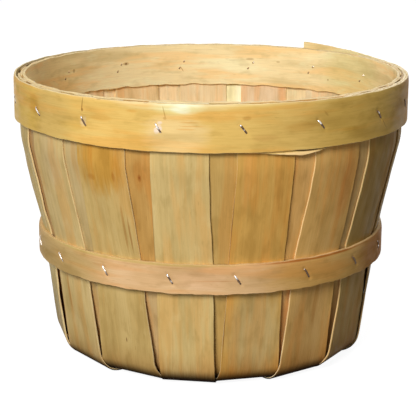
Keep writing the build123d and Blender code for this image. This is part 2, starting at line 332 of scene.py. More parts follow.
def make_veneer():
    """Group for the face of rotary-cut wood.

    Wide clouds of darker, paler and warmer wood, and a finer mottle, lie under streaks, fine fibres
    and short flecks, all drawn out along a grain whose lines wander a little across.
    """
    shades = ("Ground", "Dark", "Pale", "Warm")
    inputs = {"Grain": "Vector", "Seed": "Float", **dict.fromkeys(shades, "Color"), "Streaks": "Float"}
    outputs = {"Color": "Color", "Roughness": "Float", "Height": "Float"}
    tree, given, result = node_group("veneer", inputs, outputs)
    wander = grain_noise(tree, given["Grain"], given["Seed"], 9.0, 30.0)
    shift = add(tree, "CombineXYZ", {1: maths(tree, "MULTIPLY_ADD", wander, 0.005, -0.0025)}).outputs[0]
    grain = add(tree, "VectorMath", {0: given["Grain"], 1: shift}).outputs[0]
    seeds = [maths(tree, "ADD", given["Seed"], step) for step in (0.0, 3.1, 5.7, 8.3, 11.9, 14.2)]
    mottle = grain_noise(tree, grain, seeds[5], 55.0, 130.0, 3.0)
    clouds = grain_noise(tree, grain, seeds[0], 14.0, 70.0, 3.0)
    tints = grain_noise(tree, grain, seeds[1], 11.0, 95.0, 3.0)
    streaks = grain_noise(tree, grain, seeds[2], 10.0, 280.0, 3.0)
    fibres = grain_noise(tree, grain, seeds[3], 50.0, 1500.0, 3.0)
    flecks = grain_noise(tree, grain, seeds[4], 140.0, 1600.0)
    colour = mixed(tree, ranged(tree, clouds, 0.5, 0.7, 0.0, 0.5), given["Ground"], given["Dark"])
    colour = mixed(tree, ranged(tree, clouds, 0.48, 0.32, 0.0, 0.5), colour, given["Pale"])
    colour = mixed(tree, ranged(tree, tints, 0.48, 0.62, 0.0, 0.6), colour, given["Warm"])
    colour = mixed(tree, ranged(tree, mottle, 0.52, 0.72, 0.0, 0.35), colour, given["Dark"])
    colour = mixed(tree, ranged(tree, mottle, 0.46, 0.28, 0.0, 0.3), colour, given["Pale"])
    dark_streak = maths(tree, "MULTIPLY", ranged(tree, streaks, 0.5, 0.7), given["Streaks"])
    pale_streak = maths(tree, "MULTIPLY", ranged(tree, streaks, 0.46, 0.3, 0.0, 0.7), given["Streaks"])
    colour = mixed(tree, pale_streak, mixed(tree, dark_streak, colour, given["Dark"]), given["Pale"])
    colour = mixed(tree, ranged(tree, fibres, 0.42, 0.7, 0.0, 0.2), colour, given["Dark"])
    fleck = ranged(tree, flecks, 0.67, 0.74, 0.0, 0.4)
    tree.links.new(mixed(tree, fleck, colour, given["Dark"]), result["Color"])
    tree.links.new(ranged(tree, mottle, 0.3, 0.7, 0.48, 0.64), result["Roughness"])
    relief = maths(tree, "MULTIPLY_ADD", fibres, 0.5, maths(tree, "MULTIPLY", streaks, 0.5))
    tree.links.new(maths(tree, "SUBTRACT", relief, fleck), result["Height"])
    return tree


def make_blotch():
    """Group for a stain, knot or crack: 1 inside an oval with ragged sides and 0 outside it.

    The oval is given by the place of its middle and its half sizes, along and across the grain, and
    slant is how far it moves along for each step across.
    """
    sizes = ("Along", "Across", "Half Length", "Half Width", "Slant", "Ragged")
    inputs = {"Grain": "Vector", **dict.fromkeys(sizes, "Float")}
    tree, given, result = node_group("blotch", inputs, {"Mask": "Float"})
    parts = add(tree, "SeparateXYZ", {0: given["Grain"]}).outputs
    across = maths(tree, "SUBTRACT", parts[1], given["Across"])
    along = maths(tree, "SUBTRACT", parts[0], given["Along"])
    along = maths(tree, "SUBTRACT", along, maths(tree, "MULTIPLY", across, given["Slant"]))
    along_share = maths(tree, "DIVIDE", along, given["Half Length"])
    across_share = maths(tree, "DIVIDE", across, given["Half Width"])
    squares = [maths(tree, "MULTIPLY", share, share) for share in (along_share, across_share)]
    noise = grain_noise(tree, given["Grain"], given["Along"], 60.0, 300.0, 3.0)
    rough = maths(tree, "MULTIPLY", maths(tree, "SUBTRACT", noise, 0.5), given["Ragged"])
    reach = maths(tree, "ADD", maths(tree, "ADD", *squares), rough)
    tree.links.new(ranged(tree, reach, 1.0, 0.1), result["Mask"])
    return tree


veneer = make_veneer()
blotch = make_blotch()
cut_wood, cut_shadow = (236, 212, 158), (178, 140, 84)
# Tints of the darker foot, partly dirt and partly painted shade, and of the near-black very foot, a painted
# contact shadow with some dirt
dirt_and_shade_tint, foot_shadow_and_dirt_tint = (200, 172, 140), (38, 28, 26)


def wood_material(
    name, seed, outside, inside, cut=0.8, marks=(), inner_marks=(),
    gloss=0.0, shine=0.06, streaks=0.2, foot_darkened=False,
):
    """Bare wood of one strip: its own colour and marks outside and inside, and pale, rough cut edges.

    A mark is a place and half sizes along and across the grain, a slant, a strength, a ragged share,
    and the tint that the wood is multiplied by, where 255 leaves it as it is. Some marks are painted
    shade or highlight. When the last argument is true, the outside grows darker toward the floor, partly
    dirt and partly painted shade, and is nearly black and dull at the very foot: a painted contact shadow
    with some dirt.
    """
    material = bpy.data.materials.new(name)
    material.use_nodes = True
    tree = material.node_tree
    shader = tree.nodes["Principled BSDF"]
    grain = add(tree, "Attribute", attribute_name="grain").outputs["Vector"]
    is_cut = add(tree, "Attribute", attribute_name="cut").outputs["Fac"]
    deep = add(tree, "SeparateXYZ", {0: grain}).outputs[2]
    faces = []
    for number, ground in enumerate((outside, inside)):
        ground = np.array(ground)
        shades = {
            "Ground": paint(*ground),
            "Dark": paint(*ground * (0.8, 0.77, 0.66)),
            "Pale": paint(*np.minimum(ground * (1.06, 1.09, 1.16) + 3, 252)),
            "Warm": paint(*np.minimum(ground * (1.03, 0.93, 0.82), 252)),
        }
        inputs = {"Seed": float(seed + 11 * number), "Streaks": streaks * (1 - 0.4 * number)}
        faces.append(add_group(tree, veneer, {"Grain": grain, **inputs, **shades}))
    colours = []
    for face, face_marks in zip(faces, (marks, inner_marks)):
        colour = face["Color"]
        for along, across, half_length, half_width, slant, strength, ragged, tint in face_marks:
            sizes = {"Along": along, "Across": across, "Half Length": half_length, "Half Width": half_width}
            form = {"Grain": grain, **sizes, "Slant": slant, "Ragged": ragged}
            mask = add_group(tree, blotch, form)["Mask"]
            colour = mixed(tree, maths(tree, "MULTIPLY", mask, strength), colour, paint(*tint), "MULTIPLY")
        colours.append(colour)
    colour = mixed(tree, ranged(tree, deep, 0.0005, 0.0007), *colours)
    fibres = grain_noise(tree, grain, float(seed), 90.0, 900.0)
    cut_fibres = ranged(tree, fibres, 0.4, 0.65, 0.0, 0.3)
    cut_colour = mixed(tree, cut_fibres, paint(*cut_wood), paint(*cut_shadow))
    colour = mixed(tree, maths(tree, "MULTIPLY", is_cut, cut), colour, cut_colour)
    roughness = maths(tree, "SUBTRACT", faces[0]["Roughness"], gloss)
    if foot_darkened:
        height = add(tree, "SeparateXYZ", {0: add(tree, "TexCoord").outputs["Object"]}).outputs[2]
        along = maths(tree, "ABSOLUTE", add(tree, "SeparateXYZ", {0: grain}).outputs[0])
        on_wall, on_outside = ranged(tree, along, 0.076, 0.084), ranged(tree, deep, 0.0009, 0.0006)
        outdoors = maths(tree, "MULTIPLY", on_wall, on_outside)
        # Darker outside toward the floor: partly dirt, partly painted shade on the low wall, which faces
        # down
        low, patchy = ranged(tree, height, 0.03, 0.004, 0.0, 0.8), ranged(tree, fibres, 0.3, 0.7, 0.6, 1.0)
        dirt_and_shade = maths(tree, "MULTIPLY", maths(tree, "MULTIPLY", low, patchy), outdoors)
        colour = mixed(tree, dirt_and_shade, colour, paint(*dirt_and_shade_tint), "MULTIPLY")
        # Nearly black at the very foot: a painted contact shadow with some dirt, also made rough and dull
        foot_shadow_and_dirt = maths(tree, "MULTIPLY", ranged(tree, height, 0.0135, 0.0035), outdoors)
        colour = mixed(tree, foot_shadow_and_dirt, colour, paint(*foot_shadow_and_dirt_tint), "MULTIPLY")
        roughness = maths(tree, "MULTIPLY_ADD", foot_shadow_and_dirt, 0.5, roughness)
    bump = add(tree, "Bump", {"Strength": 0.35, "Distance": 0.0003, "Height": faces[0]["Height"]}).outputs[0]
    shader.inputs["Specular IOR Level"].default_value = shine
    tree.links.new(colour, shader.inputs["Base Color"])
    tree.links.new(roughness, shader.inputs["Roughness"])
    tree.links.new(bump, shader.inputs["Normal"])
    return material


def finish_piece(piece, node, material):
    """Gives a piece its material, and lets it ride and stand for its node."""
    piece.data.materials.append(material)
    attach(piece, "root")
    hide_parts(node)


def wall_marks(marks, along, up):
    """Marks on a splint's wall in the form of wood_material, from ones in millimetres.

    Each is given by its half (1 is the front one), height, place across, half height, half width and
    slant, and then as before. The distance along is read off the side line.
    """
    placed = []
    for half, height, across, half_height, half_width, slant, *rest in marks:
        on_half = along * half > 0
        heights, distances = up[on_half], along[on_half]
        order = np.argsort(heights)
        place = float(np.interp(0.001 * height, heights[order], distances[order]))
        placed.append((place, 0.001 * across, 0.001 * half_height, 0.001 * half_width, slant, *rest))
    return placed


# Each row is a splint: colour outside, colour inside, lift of its two sides, sways of its front and
# back half, pale share of its cut sides, and marks outside. The first four splints face front, and
# the next four show their back halves there
front, back = 1, -1
still = (0, 0, 1)
outer_looks = [
    # Its inside colour is past white: painted light on the inside of the far wall
    ((206, 178, 117), (262, 258, 218), (0.0002, 0.0007), ((0, 1.3, -0.4), still), 0.1, [
        # Dark line down its left edge: painted seam shade
        (front, 90, -19.3, 90, 0.9, 0, 0.7, 0.4, (150, 120, 80)),
        (front, 150, -6, 30, 12, 0, 0.5, 1.0, (262, 266, 275)),
        (front, 40, 2, 30, 16, 0, 0.4, 1.0, (244, 248, 250)),
    ]),
    ((206, 160, 83), (250, 230, 188), (0.0001, 0.0007), ((2.8, -0.2, 1), still), 0.1, [
        # Dark line down its left edge: painted seam shade
        (front, 90, -19.3, 90, 0.9, 0, 0.8, 0.4, (140, 105, 70)),
        (front, 40, 2, 44, 24, 0, 0.9, 0.6, (238, 262, 326)),
        (front, 140, 14, 34, 6, 0, 0.5, 1.2, (240, 226, 205)),
        (front, 150, -12, 26, 4, 0, 0.5, 1.2, (268, 268, 290)),
    ]),
    # Its inside colour is past white: painted light on the inside of the far wall
    ((214, 169, 98), (276, 246, 198), (0.0004, 0.0006), ((3.2, -3.4, 1), still), 0.35, [
        (front, 140, 12, 34, 7, 0, 0.6, 1.0, (238, 205, 180)),
        (front, 40, 0, 44, 24, 0, 0.8, 0.6, (232, 232, 240)),
        (front, 60, 4, 30, 2.5, 0, 0.5, 1.2, (225, 200, 170)),
    ]),
    ((170, 136, 72), (238, 204, 150), (0.0004, 0.0006), ((-0.8, -3.8, 2), still), 0.28, [
        (front, 40, -4, 40, 24, 0, 0.7, 0.6, (274, 276, 296)),
    ]),
    ((190, 156, 98), (150, 122, 78), (0.0002, 0.0006), ((-0.6, -3.4, 0.5), still), 0.0, [
        # Both marks darken this splint's staves at the two silhouettes: painted shade
        (front, 80, 0, 100, 24, 0, 0.8, 0.5, (184, 174, 158)),
        (back, 45, 0, 45, 30, 0, 0.8, 0.5, (186, 176, 160)),
    ]),
    ((200, 176, 115), (238, 204, 150), (0.0008, 0.0006), (still, (-3.2, -3.6, 1.4)), 0.7, [
        (back, 20, 0, 34, 24, 0, 0.8, 0.6, (202, 200, 196)),
        (back, 76, 0, 14, 24, 0, 0.7, 0.8, (266, 274, 270)),
        # Dark line down its left edge, at the silhouette: painted shade
        (back, 36, 18.5, 44, 3.5, 0, 0.8, 0.4, (110, 84, 60)),
    ]),
    ((207, 180, 122), (240, 206, 150), (0.0003, 0.0005), (still, (0.4, -3.4, 1.5)), 0.6, [
        (back, 150, -2, 26, 14, 0, 0.5, 1.0, (240, 242, 262)),
        (back, 30, 0, 40, 24, 0, 0.6, 0.6, (232, 228, 215)),
        (back, 52, 8, 18, 1.6, 0, 0.6, 1.2, (215, 185, 145)),
    ]),
    ((198, 168, 106), (248, 226, 178), (0.0004, 0.0004), (still, (1.8, -2.4, 2.3)), 0.6, [
        (back, 156, 1, 27, 24, 0, 1.0, 1.2, (246, 218, 158)),
        (back, 145, 9, 3, 4, 0, 0.4, 1.5, (215, 180, 130)),
        (back, 147, -9, 4, 1.5, 0, 0.4, 1.5, (205, 165, 115)),
        (back, 112, -11, 22, 1.2, 0, 0.5, 1.2, (205, 165, 110)),
        (back, 108, -14.5, 16, 0.8, 0, 0.6, 1.2, (185, 140, 90)),
        (back, 30, -1, 2.2, 0.5, 0, 0.8, 0.6, (130, 95, 55)),
        (back, 30, 0, 40, 24, 0, 0.6, 0.6, (238, 236, 232)),
    ]),
]
for index, (outside, inside, lifts, sways, cut, marks) in enumerate(outer_looks):
    name = f"outer_splint_{index + 1}"
    piece, along, up = splint_strip(name + "_wood", 0, index, lifts, sways, 20 + 10 * index)
    looks = (outside, inside, cut, wall_marks(marks, along, up))
    material = wood_material(name + "_veneer", 3 + 17 * index, *looks, foot_darkened=True)
    finish_piece(piece, name, material)

# Inner splints
# Eight more strips of the same wood, laid half a stave round. They close the gaps between the outer
# ones, where they show as narrow wedges, and they are the face of the basket's inside.

# Each row is a splint: colour outside, colour inside, sways, marks outside, and marks inside
inner_looks = [
    ((192, 156, 90), (238, 212, 164), (still, still), [], []),
    ((212, 163, 94), (238, 206, 152), (still, (-3.2, 0, 0)), [
        (front, 45, 0, 44, 24, 0, 0.8, 0.6, (256, 264, 292)),
    ], []),
    ((212, 174, 112), (250, 222, 178), (still, still), [], []),
    ((186, 148, 90), (234, 198, 142), (still, still), [], []),
    ((200, 160, 100), (234, 198, 142), (still, still), [], []),
    ((178, 142, 92), (234, 198, 142), (still, still), [], []),
    ((190, 164, 112), (246, 220, 174), (still, still), [], [
        (front, 160, 0, 30, 24, 0, 0.7, 0.5, (238, 248, 262)),
    ]),
    ((190, 146, 80), (240, 202, 152), ((3, 0, 0), still), [
        (back, 147.8, 0.5, 3.2, 1.6, 0, 0.5, 1.2, (205, 155, 100)),
        (back, 147.8, 0.5, 1.2, 0.7, 0, 0.5, 0.7, (180, 125, 85)),
        (back, 150, 1, 14, 5, 0, 0.5, 1.2, (246, 214, 170)),
        (back, 40, 0, 44, 24, 0, 0.9, 0.5, (250, 272, 330)),
    ], [
        (front, 160, 0, 30, 24, 0, 0.9, 0.5, (244, 256, 274)),
        (front, 160, -15, 16, 4, 0, 0.25, 0.8, (240, 208, 170)),
        (front, 160, 16, 16, 3, 0, 0.3, 0.8, (246, 220, 190)),
    ]),
]
for index, (outside, inside, sways, marks, inner_marks) in enumerate(inner_looks):
    name = f"inner_splint_{index + 1}"
    piece, along, up = splint_strip(name + "_wood", 1, index, (0, 0), sways, 120 + 10 * index)
    marks, inner_marks = (wall_marks(side, along, up) for side in (marks, inner_marks))
    looks = (outside, inside, 0.8, marks, inner_marks)
    material = wood_material(name + "_veneer", 5 + 19 * index, *looks, foot_darkened=True)
    finish_piece(piece, name, material)

# Centre staples
# Two long staples of bright steel wire through the whole stack of splints where they cross. Their
# crowns lie under the bottom, and their ends are clinched on the top strip.

wire_half_width, wire_half_height = 0.0006, 0.00035
wire_sides, wire_samples, wire_smoothing = 12, 121, 2
centre_half_crown, centre_clinch_tip, centre_half_spacing = 0.0056, 0.0028, 0.007
centre_crown_drop = 0.00045


def bent_line(corners, samples, reach):
    """A smoothed line through corners, each as far from the next as one unit of its parameter."""
    share = np.linspace(0, len(corners[0]) - 1, samples)
    return [smoothed(np.interp(share, np.arange(len(corner)), corner), reach) for corner in corners]


def wire_mesh(name, points, square):
    """Tubes of an oval section along lines of points, one for each staple, with closed ends.

    Square is each staple's direction square to its plane, along which its wire is widest. Its points
    keep their share of the wire's length as run.
    """
    staples, stations = points.shape[:2]
    slope = np.gradient(points, axis=1)
    slope /= np.linalg.norm(slope, axis=-1, keepdims=True)
    flat = np.cross(slope, square[:, None])
    angles = np.linspace(0, 2 * np.pi, wire_sides, endpoint=False)[:, None]
    rings = points[:, :, None] + wire_half_height * np.sin(angles) * flat[:, :, None]
    rings = rings + wire_half_width * np.cos(angles) * square[:, None, None]
    around = len(angles)
    ring = np.arange(around)
    station = np.arange(stations - 1)[:, None] * around
    after = (ring + 1) % around
    next_station = station + around
    sides = np.stack([station + ring, next_station + ring, next_station + after, station + after], -1)
    first = np.arange(staples)[:, None, None] * stations * around
    sides = (sides.reshape(1, -1, 4) + first).reshape(-1, 4)
    caps = np.stack([ring[::-1], ring + (stations - 1) * around]) + first
    mesh = bpy.data.meshes.new(name)
    mesh.from_pydata(rings.reshape(-1, 3), [], sides.tolist() + caps.reshape(-1, around).tolist())
    run = np.broadcast_to(np.linspace(0, 1, stations)[:, None], (staples, stations, around))
    mesh.attributes.new("run", "FLOAT", "POINT").data.foreach_set("value", run.astype("f").ravel())
    mesh.shade_smooth()
    piece = bpy.data.objects.new(name, mesh)
    bpy.context.scene.collection.objects.link(piece)
    return piece


def make_steel():
    """Drawn steel wire, bright at its upper end, darker and rusty toward its lower, sunk end, and stained at
    its ends.

    The darkening toward the lower end is partly rusted wire and partly painted shade, and the wire is also
    darker toward +x, the right side, away from the key lamp: painted shade over noise patches of rusted
    wire.
    """
    material = bpy.data.materials.new("staple_steel")
    material.use_nodes = True
    tree = material.node_tree
    shader = tree.nodes["Principled BSDF"]
    place = add(tree, "TexCoord").outputs["Object"]
    patches = add(tree, "TexNoise", {"Vector": place, "Scale": 260.0, "Detail": 3.0}).outputs[0]
    grit = add(tree, "TexNoise", {"Vector": place, "Scale": 2600.0, "Detail": 2.0}).outputs[0]
    run = add(tree, "Attribute", attribute_name="run").outputs["Fac"]
    side = add(tree, "SeparateXYZ", {0: place}).outputs[0]
    # Painted shade: darker toward +x, the side away from the key lamp, over noise patches of rusted wire
    rust_and_side_shade = maths(tree, "MULTIPLY_ADD", side, 0.9, maths(tree, "MULTIPLY_ADD", patches, 1.2, -0.81))
    # Darker toward each staple's lower, sunk end: partly rusted wire, partly painted shade
    sunk = maths(tree, "MULTIPLY_ADD", run, 1.6, rust_and_side_shade)
    stained = ranged(tree, maths(tree, "ABSOLUTE", maths(tree, "SUBTRACT", run, 0.5)), 0.24, 0.3)
    rust_and_shade = maths(tree, "MAXIMUM", ranged(tree, sunk, 0.46, 0.64), stained)
    colour = mixed(tree, rust_and_shade, paint(226, 218, 210), paint(88, 64, 44))
    colour = mixed(tree, stained, colour, paint(170, 138, 94))
    tree.links.new(colour, shader.inputs["Base Color"])
    roughness = maths(tree, "MULTIPLY_ADD", rust_and_shade, 0.3, ranged(tree, grit, 0.3, 0.7, 0.16, 0.3))
    tree.links.new(roughness, shader.inputs["Roughness"])
    tree.links.new(ranged(tree, rust_and_shade, 0.0, 1.0, 1.0, 0.35), shader.inputs["Metallic"])
    bump = add(tree, "Bump", {"Strength": 0.3, "Distance": 0.0001, "Height": grit}).outputs[0]
    tree.links.new(bump, shader.inputs["Normal"])
    return material


steel = make_steel()
crown_low = stack_pitch - layer_fit - centre_crown_drop
clinch_high = 2 * splints_per_layer * stack_pitch + splint_thickness + layer_fit + wire_half_height
half_run = [centre_clinch_tip, centre_half_crown, centre_half_crown]
run = half_run + [-place for place in half_run[::-1]]
level = [clinch_high, clinch_high, crown_low, crown_low, clinch_high, clinch_high]
run, level = bent_line([run, level], wire_samples, wire_smoothing)
places = (-centre_half_spacing, centre_half_spacing)
points = np.stack([np.stack([0 * run + place, run, level], -1) for place in places])
piece = wire_mesh("centre_staples_wire", points, np.array([[1.0, 0, 0]] * 2))
finish_piece(piece, "centre_staples", steel)

# Middle hoop
# A narrow strip of thicker wood that is wound once round the waist, with its lap at the back, and
# stapled about once to a stave. Its upper edge is sawn, and its lower edge is torn a little.

hoop_columns = 30
middle_hoop_thickness = 0.0028
middle_radius = waist_radius + layer_fit + middle_hoop_thickness
middle_level = (middle_hoop_low + waist_height) / 2
hoop_step, hoop_smoothing, hoop_wave = 0.42, 6, 0.035
wear_height, lip_height = 0.004, 0.002
first_staple, front_pitch, front_staples, back_staples = -76.0, 21.2, 8, 8
front_headings = first_staple + front_pitch * np.arange(front_staples)
back_room = first_staple + 360 - front_headings[-1]
back_headings = front_headings[-1] + back_room * np.arange(1, back_staples + 1) / (back_staples + 1)
staple_headings = np.concatenate([front_headings, back_headings])
staple_count = len(staple_headings)
staple_half_crown = 0.0043
press_depth, press_reach = 0.0005, 0.0011
mean_lean, lean_spread = 36, 7
staple_random = np.random.default_rng(12)
leans = staple_random.uniform(-lean_spread, lean_spread, (2, staple_count))
middle_leans, top_leans = np.radians(mean_lean + leans)
middle_shifts, top_shifts = staple_random.uniform(-0.5, 0.5, (2, staple_count))
middle_shifts[5:7] = 0.9
top_shifts[1:8] = [-0.2, -2.0, -1.2, -0.4, 0.1, 1.2, 0.1]


def hoop_strip(name, places, thickness, seed, roughness, staples, wear=0.0006, lip=0.0):
    """A wound strip: rings at even headings, whose radius and edges run between the places given.

    A place is a heading, radius, lower and upper edge. The edges are uneven, the upper outer corner
    is worn round by wear except where the last turn covers it, the outer face is pressed in round
    each staple, and lip bends out what hangs low.
    """
    headings, radii, lows, highs = np.array(places).T
    turned = np.arange(headings[0], headings[-1], hoop_step)
    radius = smoothed(np.interp(turned, headings, radii), hoop_smoothing)
    along = np.radians(turned) * rim_radius
    low = np.interp(turned, headings, lows) + roughness[0] * wobble(along, hoop_wave, seed)
    high = np.interp(turned, headings, highs) + roughness[1] * wobble(along, hoop_wave, seed + 1)
    middle, half = ((low + high) / 2)[:, None], ((high - low) / 2)[:, None]
    share, depth = strip_ring(half.mean(), thickness, hoop_columns)
    height = middle + share * half
    facing = np.clip(1 - depth / thickness, 0, 1)
    worn = np.clip((np.abs(share) * half - half + wear_height) / wear_height, 0, 1) ** 2
    covered = (turned < headings[-1] - 360)[:, None]
    worn = worn * (share > 0) * ~covered
    reach = radius[:, None] - depth - facing * wear * worn
    reach = reach + lip * covered * np.clip((lows[0] - height) / lip_height, 0, 1)
    for heading, level, lean in staples:
        aside = np.radians((turned - heading + 180) % 360 - 180)[:, None] * reach
        run = aside * np.sin(lean) - (height - level) * np.cos(lean)
        off = aside * np.cos(lean) + (height - level) * np.sin(lean)
        beyond = np.clip(np.abs(run) - staple_half_crown, 0, None)
        reach = reach - facing * press_depth * np.exp(-(off**2 + beyond**2) / press_reach**2)
    heading = np.radians(turned)[:, None]
    points = np.stack([reach * np.sin(heading), -reach * np.cos(heading), height], -1)
    grain = np.stack(np.broadcast_arrays(along[:, None], height - (lows[0] + highs[0]) / 2, depth), -1)
    return strip_mesh(name, points, grain)


def hoop_marks(marks, level, turn):
    """Marks on a hoop in the form of wood_material, from ones in degrees and millimetres.

    Each is given by heading, height, half length, half height and slant, and then as before. Turn is
    added to the heading, and level is the height where the hoop's grain has its middle.
    """
    placed = []
    for heading, height, half_length, half_height, slant, *rest in marks:
        place = float(np.radians(heading + turn)) * rim_radius
        sizes = (0.001 * half_length, 0.001 * half_height)
        placed.append((place, 0.001 * height - level, *sizes, slant, *rest))
    return placed


lapped = middle_radius + middle_hoop_thickness + layer_fit
edges = (middle_hoop_low + 0.0006, waist_height)
places = [(163, middle_radius), (511, middle_radius), (523, lapped), (557, lapped)]
places = [(heading, radius, *edges) for heading, radius in places]
staples = list(zip(staple_headings + middle_shifts, np.full(staple_count, middle_level), middle_leans))
piece = hoop_strip("middle_hoop_wood", places, middle_hoop_thickness, 301, (0.0003, 0.0002), staples)
marks = [
    (-58, 80, 70, 30, 0, 0.9, 0.5, (226, 232, 210)),
    (40, 80, 70, 30, 0, 0.9, 0.5, (234, 224, 172)),
    (72, 80, 50, 30, 0, 0.9, 0.5, (208, 168, 86)),
    (-20, 80, 34, 12, 0, 0.4, 1.0, (252, 250, 254)),
    (-2, 80, 26, 10, 0, 0.4, 1.0, (258, 250, 262)),
    (-25, 89.4, 100, 1.8, 0, 0.7, 0.3, (238, 250, 212)),
    (-20, 87.1, 90, 0.4, 0, 0.35, 0.8, (235, 215, 210)),
    # Darker at the right silhouette: painted shade
    (86, 80, 14, 30, 0, 0.7, 0.4, (190, 178, 160)),
    (2, 79, 22, 0.5, 0, 0.4, 1.0, (225, 185, 140)),
    (-36, 83, 9, 1.0, 0, 0.3, 1.4, (215, 180, 130)),
    (36, 89.4, 66, 1.6, 0, 0.85, 0.4, (202, 143, 84)),
]
marks = hoop_marks(marks, middle_level, 360)
looks = ((212, 173, 124), (214, 178, 122), 0.3, marks)
material = wood_material("middle_hoop_veneer", 41, *looks, shine=0.05, streaks=0.1)
finish_piece(piece, "middle_hoop", material)

# Top inner hoop
# A wide strip of the same thick wood round the inside of the rim, with its lap at the front. Its
# lower edge is left as it was peeled, so it runs in a wavy line.

inner_radius = wall_radius - 2 * stack_pitch
lapped = inner_radius - hoop_thickness - layer_fit
edges = (top_hoop_low, rim_height)
places = [(-15, inner_radius), (333, inner_radius), (345, lapped), (375, lapped)]
places = [(heading, radius, *edges) for heading, radius in places]
top_level = (top_hoop_low + rim_height) / 2
piece = hoop_strip("top_inner_hoop_wood", places, hoop_thickness, 311, (0.0005, 0.0003), [], 0.0)
marks = [
    (-126.6, 184.5, 1.6, 1.8, 0, 0.5, 1.5, (150, 120, 80)),
    (-149.1, 185, 3.2, 1.6, 0, 0.45, 1.5, (175, 140, 90)),
    (-149.1, 185, 1.2, 0.9, 0, 0.8, 0.8, (140, 105, 60)),
    (-169.7, 178.7, 0.5, 2.6, 0.6, 0.6, 0.8, (165, 125, 75)),
    (166.3, 187.3, 4.2, 1.2, 0, 0.45, 1.6, (175, 145, 100)),
    (156, 186, 2.2, 0.9, 0, 0.4, 1.6, (180, 150, 100)),
    (136, 176, 1.0, 0.9, 0, 0.6, 0.8, (160, 125, 70)),
    (-120, 182, 30, 30, 0, 0.5, 0.6, (262, 264, 256)),
    (124, 182, 44, 30, 0, 0.8, 0.6, (234, 240, 224)),
    (80, 182, 24, 30, 0, 0.8, 0.6, (222, 230, 232)),
]
marks = hoop_marks(marks, top_level, 360) + hoop_marks(marks, top_level, 0)
looks = ((240, 214, 158), (246, 225, 172))
material = wood_material("inner_hoop_veneer", 47, *looks, inner_marks=marks, streaks=0.08)
finish_piece(piece, "top_inner_hoop", material)

# Top outer hoop
# A wide strip wound once round the outside of the rim, with a long lap at the right. Its first end
# hangs a little below the front, and its last end stands above the rim at the back.

under_radius = rim_radius - hoop_thickness - layer_fit
places = [
    (11, under_radius, top_hoop_low + 0.0006, rim_height - 0.003),
    (24.5, under_radius, top_hoop_low - 0.003, rim_height - 0.003),
    (35, under_radius, top_hoop_low + 0.0009, rim_height - 0.001),
    (41, under_radius, top_hoop_low + 0.0014, rim_height),
    (148, under_radius, top_hoop_low, rim_height),
    (160, rim_radius, top_hoop_low, rim_height),
    (255, rim_radius, top_hoop_low + 0.0005, rim_height),
    (305, rim_radius, top_hoop_low + 0.002, rim_height - 0.0001),
    (335, rim_radius, top_hoop_low + 0.001, rim_height - 0.0002),
    (370, rim_radius, top_hoop_low + 0.0009, rim_height - 0.0001),
    (430, rim_radius, top_hoop_low + 0.0007, rim_height),
    (475, rim_radius, top_hoop_low + 0.0005, rim_height),
    (508, rim_radius, top_hoop_low + 0.005, rim_height + 0.005),
]
places_level = (places[0][2] + places[0][3]) / 2
staples = list(zip(staple_headings + top_shifts, np.full(staple_count, top_level), top_leans))
piece = hoop_strip("top_outer_hoop_wood", places, hoop_thickness, 321, (0.0002, 0.0002), staples, lip=0.0012)
